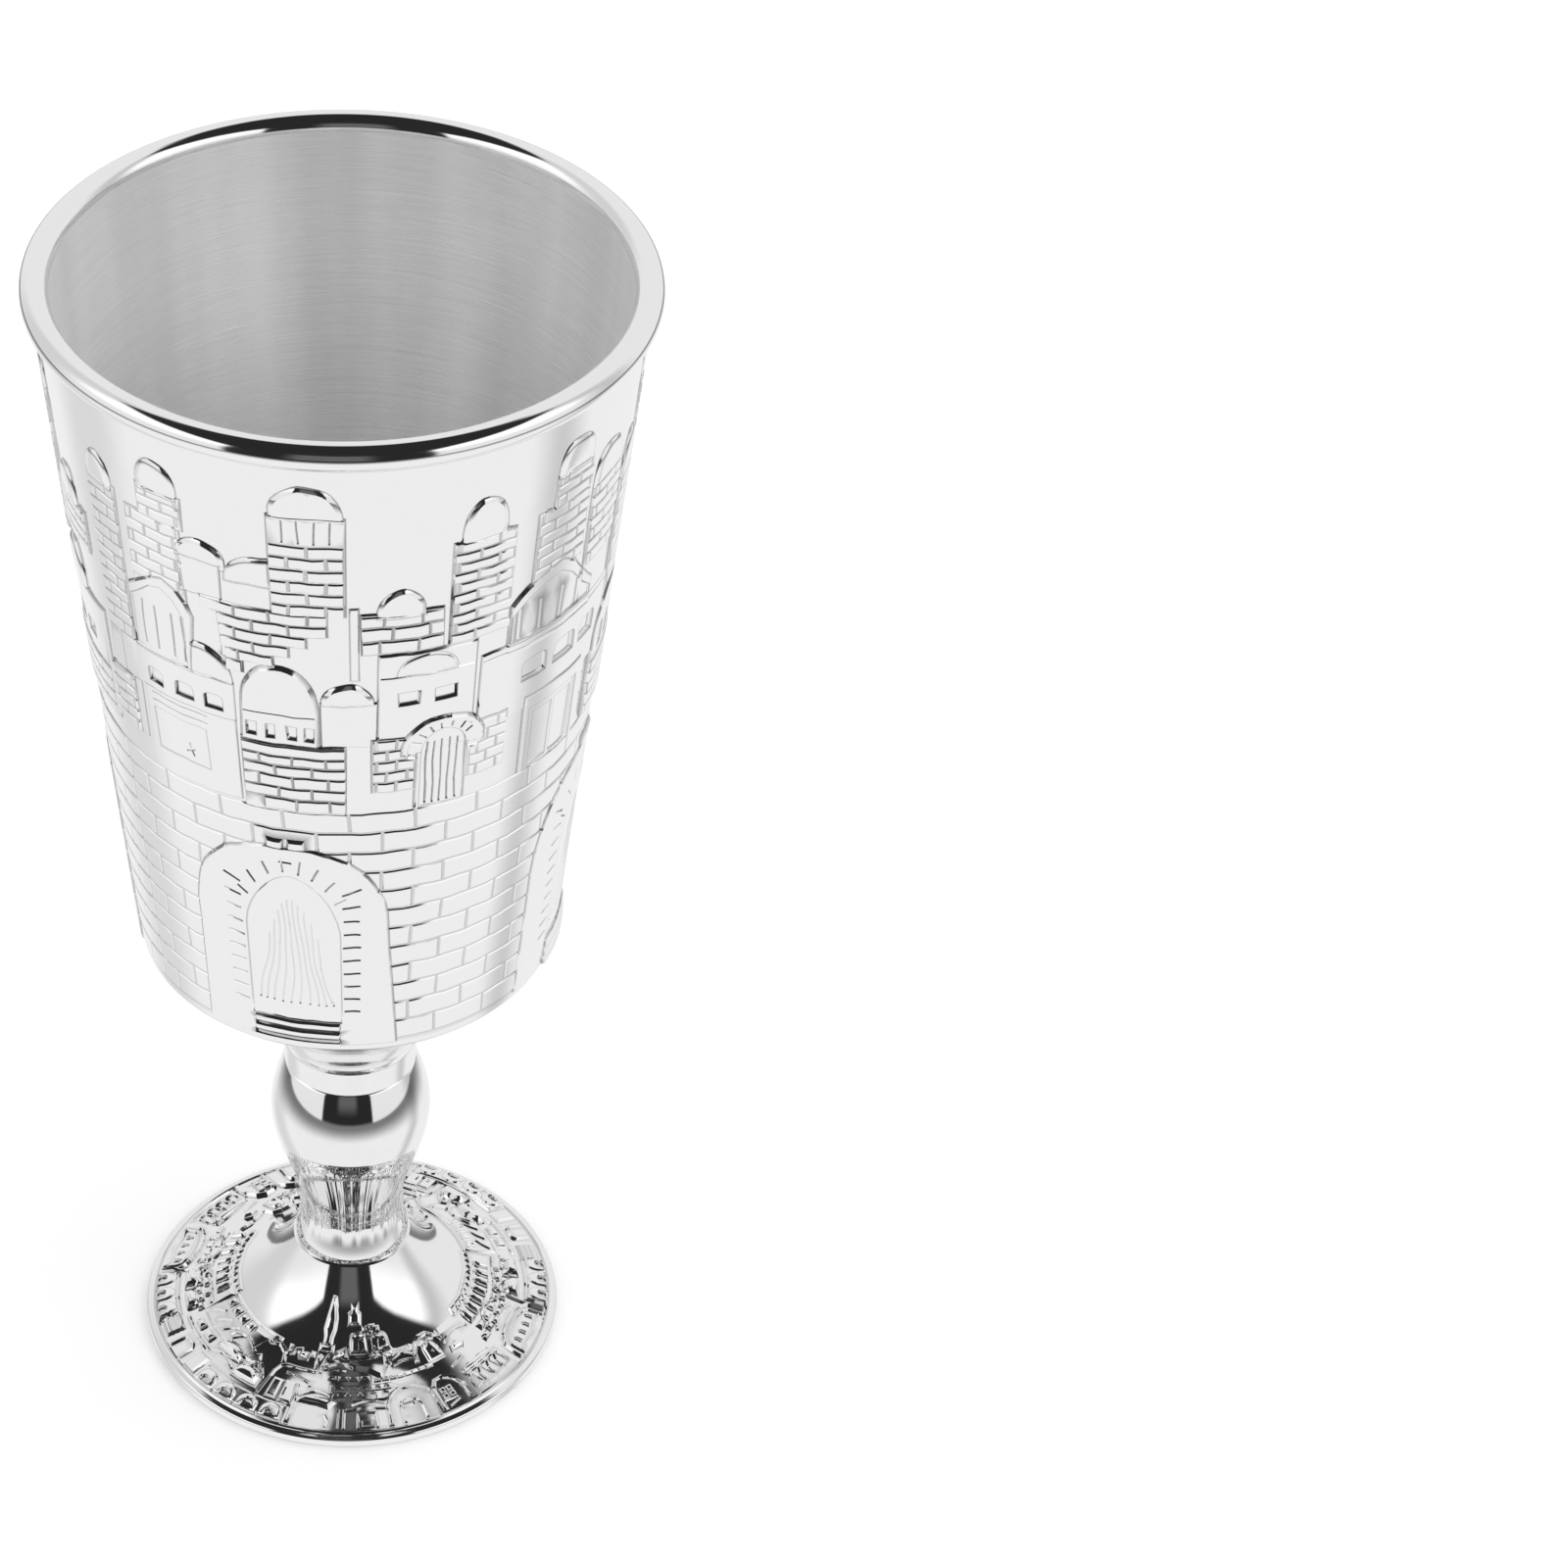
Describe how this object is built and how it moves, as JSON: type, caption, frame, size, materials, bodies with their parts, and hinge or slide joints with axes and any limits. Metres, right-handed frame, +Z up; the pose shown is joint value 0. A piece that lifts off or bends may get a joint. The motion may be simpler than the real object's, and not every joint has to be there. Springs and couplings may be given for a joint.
{
  "type": "kiddush cup",
  "caption": "Footed silver wine cup with a hollow tapering bowl, rounded lip, knopped stem and round foot, in low relief of a domed city.",
  "frame": {"origin": "centre of the foot's underside, on the surface it stands on", "axes": "+Z up along the cup's axis; the front of the picture faces -Y, with +X to the right"},
  "size_m": [0.0652, 0.0652, 0.145],
  "materials": {
    "bowl_silver": "polished relief outside, brushed matte inside",
    "stem_silver": "mirror polish",
    "foot_silver": "polished relief"
  },
  "bodies": {
    "root": {"bowl": "bowl_silver", "stem": "stem_silver", "foot": "foot_silver"}
  },
  "joints": []
}
